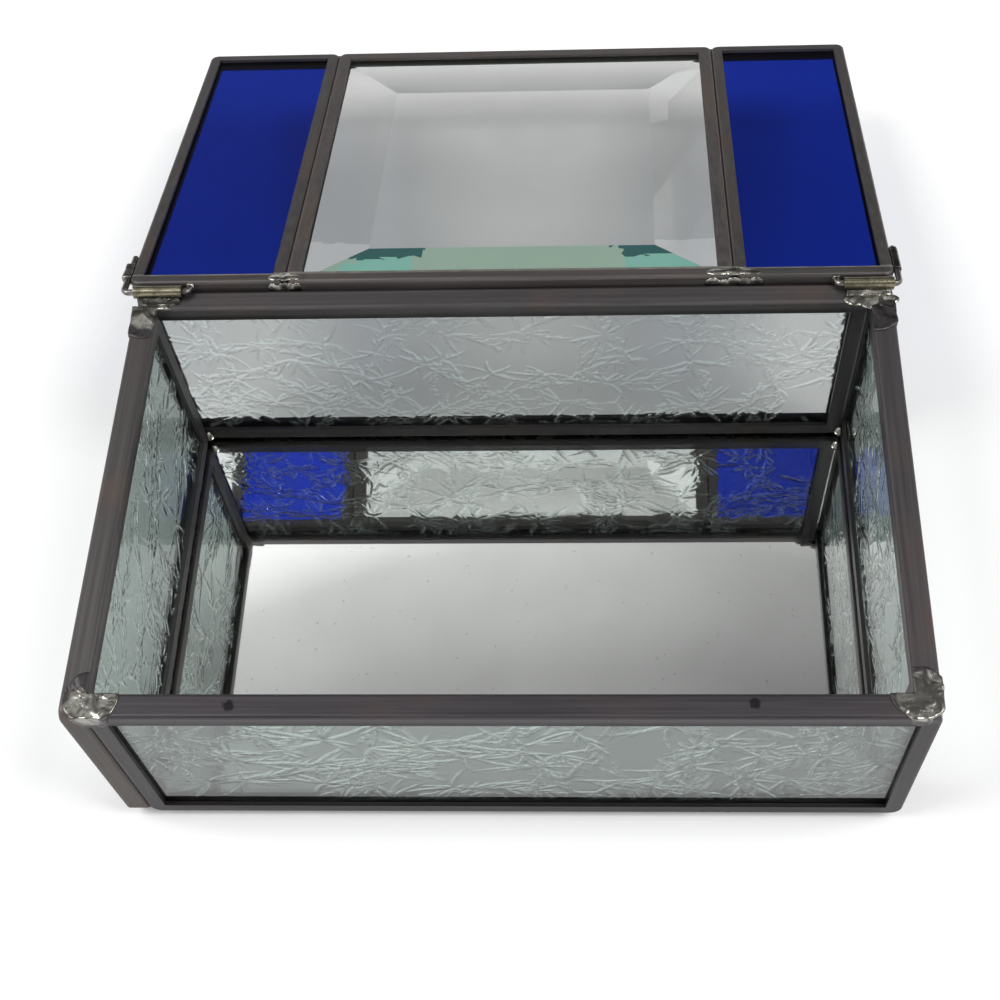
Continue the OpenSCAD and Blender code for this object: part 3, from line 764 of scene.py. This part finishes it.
class CASKET_OT_mirror(bpy.types.Operator):
    """Makes the mirror base: glass with silver on its underside, over paint and a folded foil edge"""

    bl_idname = "casket.mirror"
    bl_label = "Mirror Base"

    hair = 0.01 * MM            # how far the glass stays back from the foil round it
    polished_edge = 0.25 * MM
    tint, lamp_tint = (0.94, 0.96, 0.95), (0.96, 0.98, 0.97)

    def execute(self, context):
        low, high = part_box("mirror_pane")
        inset = Vector((self.hair, self.hair, 0.0))
        size = high - low - 2 * inset - Vector((0, 0, self.hair))
        shape = Matrix.LocRotScale((low + high) / 2 - Vector((0, 0, self.hair / 2)), None, size)
        bm = bmesh.new()
        bmesh.ops.create_cube(bm, size=1.0, matrix=shape)
        for face in bm.faces:
            face.material_index = 1 if face.normal.z < -0.5 else 0
        upper = [e for e in bm.edges if all(v.co.z > low.z + self.hair for v in e.verts)]
        bmesh.ops.bevel(bm, geom=upper, offset=self.polished_edge, segments=2, affect="EDGES")
        mesh = bpy.data.meshes.new("mirror_glass")
        bm.to_mesh(mesh)
        bm.free()
        clear = tinted_glass("mirror_glass", self.tint, self.lamp_tint, ripple=0.0)
        new_object("mirror_glass", mesh, [clear, silver()], "box", "clear_glass",
                   "mirror_pane", "mirror_silvering")
        finish_node("mirror_backing", matt_paint())
        finish_node("base_foil", solder_metal("foil_metal", 0.8))
        return {"FINISHED"}


class CASKET_OT_strips(bpy.types.Operator):
    """Gives each pane's channel strip its dark patina"""

    bl_idname = "casket.strips"
    bl_label = "Channel Strips"

    # How bright each strip's colour is: partly its own patina, partly painted light, as the sheen on the
    # left and right wall strips
    shades = {
        "front": (1.00, 0.98, 1.07), "back": (1.40, 1.37, 1.39),
        "left": (1.45, 1.43, 1.40), "right": (1.20, 1.17, 1.21),
    }
    lid_shades = {"left": (1.60, 1.56, 1.54), "centre": (1.95, 1.86, 1.78), "right": (1.60, 1.56, 1.52)}
    # Where the front wall's top is stained: across, and back from its middle, in mm
    stain_places = ((-54.0, 0.0), (51.8, 0.5))
    lip = 2.9 * MM  # how far a lid strip laps over its pane, to the edge that gets a painted highlight

    def execute(self, context):
        low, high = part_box("front_came")
        middle = (low.y + high.y) / 2
        stains = {"front": [(x * MM, middle + y * MM, high.z) for x, y in self.stain_places]}
        for seed, (wall, look) in enumerate(WALLS.items(), start=1):
            node = f"{wall}_came"
            finish_node(node, strip_metal(node, look["run"], seed, self.shades[wall],
                                          stains=stains.get(wall, ())))
        for seed, (part, shade) in enumerate(self.lid_shades.items(), start=1 + len(WALLS)):
            node = f"lid_{part}_came"
            pane_low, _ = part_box(f"lid_{part}_pane")
            finish_node(node, strip_metal(node, 0, seed, shade, highlight_edge=pane_low.y + self.lip))
        return {"FINISHED"}


class CASKET_OT_solder(bpy.types.Operator):
    """Runs the solder over the joints of the walls and the lid"""

    bl_idname = "casket.solder"
    bl_label = "Solder"

    # Each top corner's bare solder: how bright it is, its middle from the box's outer corner, and its
    # reach across, along and down, in mm
    corners = {
        "front_left": (0.8, (6.8, 2.9), (5.6, 3.9, 5.0)),
        "front_right": (1.0, (-4.0, 4.8), (5.4, 5.6, 5.4)),
        "back_left": (0.8, (3.6, -4.2), (7.0, 7.0, 8.0)),
        "back_right": (0.3, (-5.0, -5.2), (2.2, 2.2, 3.0)),
    }
    corner_lumps, corner_top_lumps = 0.35 * MM, 0.20 * MM
    # Each other run of solder: the body it rides on, its metal, and how high its lumps are on its
    # sides and on top, in mm
    runs = {
        "inside_corner_solder": ("box", "bright", 0.25, 0.12),
        "base_tack_solder": ("box", "dull", 0.25, 0.12),
        "left_tube_solder": ("box", "dull", 0.25, 0.12),
        "right_tube_solder": ("box", "bright", 0.25, 0.12),
        "lid_left_seam_solder": ("lid", "bright", 0.25, 0.25),
        "lid_right_seam_solder": ("lid", "bright", 0.25, 0.25),
        "lid_front_seam_solder": ("lid", "dull", 0.15, 0.15),
        "left_arm_solder": ("lid", "grey", 0.20, 0.20),
        "right_arm_solder": ("lid", "dull", 0.10, 0.10),
        "left_hook_solder": ("lid", "bright", 0.10, 0.10),
        "right_hook_solder": ("lid", "bright", 0.10, 0.10),
    }
    metals = {"bright": 1.3, "dull": 0.5, "grey": 0.8}

    # Beads that run forward from the right tube over the rim: each one's middle from the front left
    # of the fillet, and its half width and half depth, in mm
    rim_beads = ((2.2, -0.6, 3.0, 1.8), (5.6, -1.0, 3.2, 2.3), (9.4, -0.5, 2.6, 1.6), (7.4, -2.9, 1.8, 1.2))
    rim_bead_height = 0.34
    # Beads on the lid's inside face: each one's place along the seam's bead, as a share of half its
    # length, and its place forward and half depth, in mm
    inside_beads = ((-0.55, 1.6, 1.3), (0.0, 2.0, 1.8), (0.55, 1.5, 1.2))
    inside_bead_half, inside_bead_height = 0.42, 0.32
    # Beads on the lid's back edge: each one's place along and up, and its half length and half
    # height, as shares of half the seam bead's length and half the strip's height
    edge_beads = ((-0.72, -0.2, 0.24, 0.55), (-0.34, 0.15, 0.26, 0.70), (0.02, -0.3, 0.22, 0.50),
                  (0.38, 0.0, 0.26, 0.75), (0.74, -0.35, 0.22, 0.45), (0.0, 0.5, 0.55, 0.30))
    edge_bead_depth = 0.42

    def execute(self, context):
        for seed, (corner, (shade, place, reach)) in enumerate(self.corners.items(), start=1):
            node, piece = f"{corner}_solder", f"{corner}_blob"
            crown = self.outer_corner(corner) + Vector((*place, 0.0)) * MM
            metal = solder_metal(f"{corner}_metal", shade, tuple(crown), scaled(reach, MM), 1.0 * MM)
            mesh = flowed_solder(piece, node, self.corner_lumps, self.corner_top_lumps, seed)
            new_object(piece, mesh, [metal], "box", "solder", node)
        metals = {name: solder_metal(f"{name}_solder", shade) for name, shade in self.metals.items()}
        first_seed = 1 + len(self.corners)
        for seed, (node, run) in enumerate(self.runs.items(), start=first_seed):
            body, metal, lumps, top_lumps = run
            piece = node.replace("solder", "run")
            mesh = flowed_solder(piece, node, lumps * MM, top_lumps * MM, seed, self.beads(node))
            new_object(piece, mesh, [metals[metal]], body, "solder", node)
        return {"FINISHED"}

    def outer_corner(self, corner):
        """The walls' outermost point at one of the box's top corners"""
        end, side = corner.split("_")
        low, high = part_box(f"{end}_came")
        left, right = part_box("left_came")[0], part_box("right_came")[1]
        return Vector((left.x if side == "left" else right.x, low.y if end == "front" else high.y, right.z))

    def beads(self, node):
        """The beads that some runs of solder have beyond their CAD shape"""
        if node == "right_tube_solder":
            return self.tube_beads(node)
        if node in ("lid_left_seam_solder", "lid_right_seam_solder"):
            return self.seam_beads(node)
        return []

    def tube_beads(self, node):
        """Thin beads where a tube's solder runs forward over the rim"""
        low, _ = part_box(node)
        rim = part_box("back_came")[1].z
        return [bead((low.x + x * MM, low.y + y * MM, rim), Vector((rx, ry, self.rim_bead_height)) * MM)
                for x, y, rx, ry in self.rim_beads]

    def seam_beads(self, node):
        """Beads where a seam's solder runs on over the back edge and the inside face of the lid"""
        low, high = shut_box(node)
        strip_low, strip_high = shut_box("lid_centre_came")
        middle, half = (high.x + low.x) / 2, (high.x - low.x) / 2
        tall = (strip_high.z - strip_low.z) / 2
        inside = [bead((middle + dx * half, high.y - dy * MM, strip_low.z),
                       (self.inside_bead_half * half, ry * MM, self.inside_bead_height * MM))
                  for dx, dy, ry in self.inside_beads]
        edge = [bead((middle + dx * half, strip_high.y, strip_low.z + tall * (1 + dz)),
                     (rx * half, self.edge_bead_depth * MM, rz * tall))
                for dx, dz, rx, rz in self.edge_beads]
        return [lid_opening() @ shape for shape in inside + edge]


class CASKET_OT_hinges(bpy.types.Operator):
    """Finishes the hinge tubes and wires"""

    bl_idname = "casket.hinges"
    bl_label = "Hinges"

    wire_colour = (0.26, 0.25, 0.23)

    def execute(self, context):
        tube = drawn_metal("tube_metal", tuple(context.scene.casket_metal.tube_colour), along=0)
        wire = drawn_metal("wire_metal", self.wire_colour, along=1)
        for side in ("left", "right"):
            finish_node(f"{side}_hinge_tube", tube)
            finish_node(f"{side}_hinge_wire", wire)
        return {"FINISHED"}


class CASKET_OT_stage(bpy.types.Operator):
    """Sets the floor, the light and the camera"""

    bl_idname = "casket.stage"
    bl_label = "Stage"

    floor_reach = 4.0

    # The soft light's level against height, from the horizon (0) to straight up (1), before the box,
    # behind it, and to either side
    sky_before = ((0.0, 1.05), (0.25, 1.05), (0.5, 0.85), (0.7, 0.10), (0.95, 0.05), (1.0, 0.28))
    sky_behind = ((0.0, 1.05), (0.07, 1.05), (0.16, 0.15), (0.62, 0.15), (0.77, 0.90), (0.80, 1.45),
                  (0.842, 1.40), (0.864, 0.74), (0.885, 0.61), (0.902, 0.44), (0.93, 0.32), (1.0, 0.28))
    sky_aside, sky_brightest = 1.05, 2.0
    # How far back a direction points where the light before the box gives way to the light behind
    # it, and how far across it points where both give way to the light to either side
    turn_behind, turn_aside = (-0.1, 0.25), (0.45, 0.80)
    # How far across a direction points where the light behind the box starts and ends its fall from
    # left to right, and its share there
    falloff = (-0.06, 0.17, 0.93, 0.5)

    # Each lamp's place, in metres, and its power in watts
    lamp_plan = {"key_lamp": ((-0.82, -0.10, 1.25), 9.8), "fill_lamp": ((0.78, -0.15, 1.3), 11.5)}
    lamp_size, lamp_aim = 0.6, (0.0, 0.03, 0.03)

    # Where the camera stands from the walls' front left bottom corner, and how it is turned
    camera_place = Vector((112.0, -121.3, 331.5)) * MM
    camera_yaw, camera_pitch, camera_roll = -5.295, 60.313, -4.847
    camera_shift = (-0.04, 0.06)

    def execute(self, context):
        settings = context.scene.casket_stage
        self.floor(settings)
        self.sky(context, settings)
        self.lamps(context)
        self.camera(context, settings)
        context.scene.view_settings.view_transform = "Standard"
        return {"FINISHED"}

    def floor(self, settings):
        """A plain floor, whose seen colour is lifted a little towards white"""
        bm = bmesh.new()
        bmesh.ops.create_grid(bm, x_segments=1, y_segments=1, size=self.floor_reach)
        mesh = bpy.data.meshes.new("floor")
        bm.to_mesh(mesh)
        bm.free()
        floor = bpy.data.objects.new("floor", mesh)
        bpy.context.scene.collection.objects.link(floor)
        tree = material_tree("floor_paint")
        paint = tree.node("BsdfPrincipled", {
            "Base Color": tuple(settings.floor_colour), "Roughness": 0.9, "Specular IOR Level": 0.1})
        white = tree.node("Emission", {"Color": (1.0, 1.0, 1.0), "Strength": 1.0})
        rays = tree.node("LightPath").outputs
        seen = tree.math("MAXIMUM", rays["Is Camera Ray"], rays["Is Glossy Ray"])
        seen = tree.math("MAXIMUM", seen, rays["Is Transmission Ray"])
        lift = tree.math("MULTIPLY", seen, settings.floor_lift)
        mesh.materials.append(tree.finish(tree.node("MixShader", {0: lift, 1: paint, 2: white})))

    def sky_ramp(self, tree, height, levels):
        """The soft light's colour at a height, from its levels"""
        ramp = tree.node("ValToRGB", {0: height})
        stops = ramp.color_ramp.elements
        while len(stops) < len(levels):
            stops.new(1.0)
        for stop, (place, level) in zip(stops, levels):
            stop.position = place
            stop.color = (*[level / self.sky_brightest] * 3, 1.0)
        return ramp.outputs[0]

    def sky(self, context, settings):
        """Soft light from all round, dark in the parts that the glass and metal are to mirror dark"""
        world = bpy.data.worlds.new("studio")
        context.scene.world = world
        tree = Tree(world, "OutputWorld")
        way = tree.node("SeparateXYZ", {0: tree.node("TexCoord").outputs["Generated"]})
        across, back, height = way.outputs
        before = self.sky_ramp(tree, height, self.sky_before)
        behind = tree.vector_math("SCALE", self.sky_ramp(tree, height, self.sky_behind),
                                  tree.ramp(across, *self.falloff))
        colour = tree.mix(tree.ramp(back, *self.turn_behind), before, behind)
        aside = tree.ramp(tree.math("ABSOLUTE", across), *self.turn_aside)
        level = (self.sky_aside / self.sky_brightest,) * 3
        tree.finish(tree.node("Background", {
            "Color": tree.mix(aside, colour, level),
            "Strength": settings.sky_strength * self.sky_brightest}))

    def lamps(self, context):
        """Two soft lamps above the box, one to each side"""
        for name, (place, power) in self.lamp_plan.items():
            data = bpy.data.lights.new(name, "AREA")
            data.size, data.energy = self.lamp_size, power
            lamp = bpy.data.objects.new(name, data)
            lamp.location = place
            ahead = Vector(self.lamp_aim) - Vector(place)
            lamp.rotation_euler = ahead.to_track_quat("-Z", "Y").to_euler()
            context.scene.collection.objects.link(lamp)

    def camera(self, context, settings):
        """The camera, above and before the box"""
        front_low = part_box("front_came")[0]
        corner = Vector((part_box("left_came")[0].x, front_low.y, front_low.z))
        yaw, pitch, roll = map(math.radians, (self.camera_yaw, self.camera_pitch, self.camera_roll))
        ahead = Vector((math.sin(yaw) * math.cos(pitch), math.cos(yaw) * math.cos(pitch), -math.sin(pitch)))
        level = Vector((math.cos(yaw), -math.sin(yaw), 0.0))
        upward = level.cross(ahead)
        right = math.cos(roll) * level + math.sin(roll) * upward
        up = math.cos(roll) * upward - math.sin(roll) * level
        data = bpy.data.cameras.new("camera")
        data.lens, data.sensor_width = settings.lens, 36.0
        data.shift_x, data.shift_y = self.camera_shift
        data.clip_start, data.clip_end = 0.01, 20.0
        camera = bpy.data.objects.new("camera", data)
        turned = Matrix((right, up, -ahead)).transposed().to_4x4()
        camera.matrix_world = Matrix.Translation(corner + self.camera_place) @ turned
        context.scene.collection.objects.link(camera)
        context.scene.camera = camera


class CASKET_PT_panel(bpy.types.Panel):
    """Lists the box's operators and settings"""

    bl_idname = "CASKET_PT_panel"
    bl_label = "Glass Casket Box"
    bl_space_type = "VIEW_3D"
    bl_region_type = "UI"
    bl_category = "Casket Box"

    def draw(self, context):
        for operator in OPERATORS:
            self.layout.operator(operator.bl_idname)
        for name in GROUPS:
            group = getattr(context.scene, name)
            column = self.layout.column(heading=name)
            for key in group.bl_rna.properties.keys():
                if key not in ("rna_type", "name"):
                    column.prop(group, key)


OPERATORS = (CASKET_OT_wall_panes, CASKET_OT_lid_panes, CASKET_OT_mirror, CASKET_OT_strips,
             CASKET_OT_solder, CASKET_OT_hinges, CASKET_OT_stage)
GROUPS = {"casket_glass": GlassSettings, "casket_metal": MetalSettings, "casket_stage": StageSettings}


def register():
    for cls in (*GROUPS.values(), *OPERATORS, CASKET_PT_panel):
        bpy.utils.register_class(cls)
    for name, group in GROUPS.items():
        setattr(bpy.types.Scene, name, PointerProperty(type=group))


def unregister():
    for name in GROUPS:
        delattr(bpy.types.Scene, name)
    for cls in reversed((*GROUPS.values(), *OPERATORS, CASKET_PT_panel)):
        bpy.utils.unregister_class(cls)


def main():
    register()
    for operator in OPERATORS:
        group, name = operator.bl_idname.split(".")
        getattr(getattr(bpy.ops, group), name)()


if __name__ == "__main__":
    main()
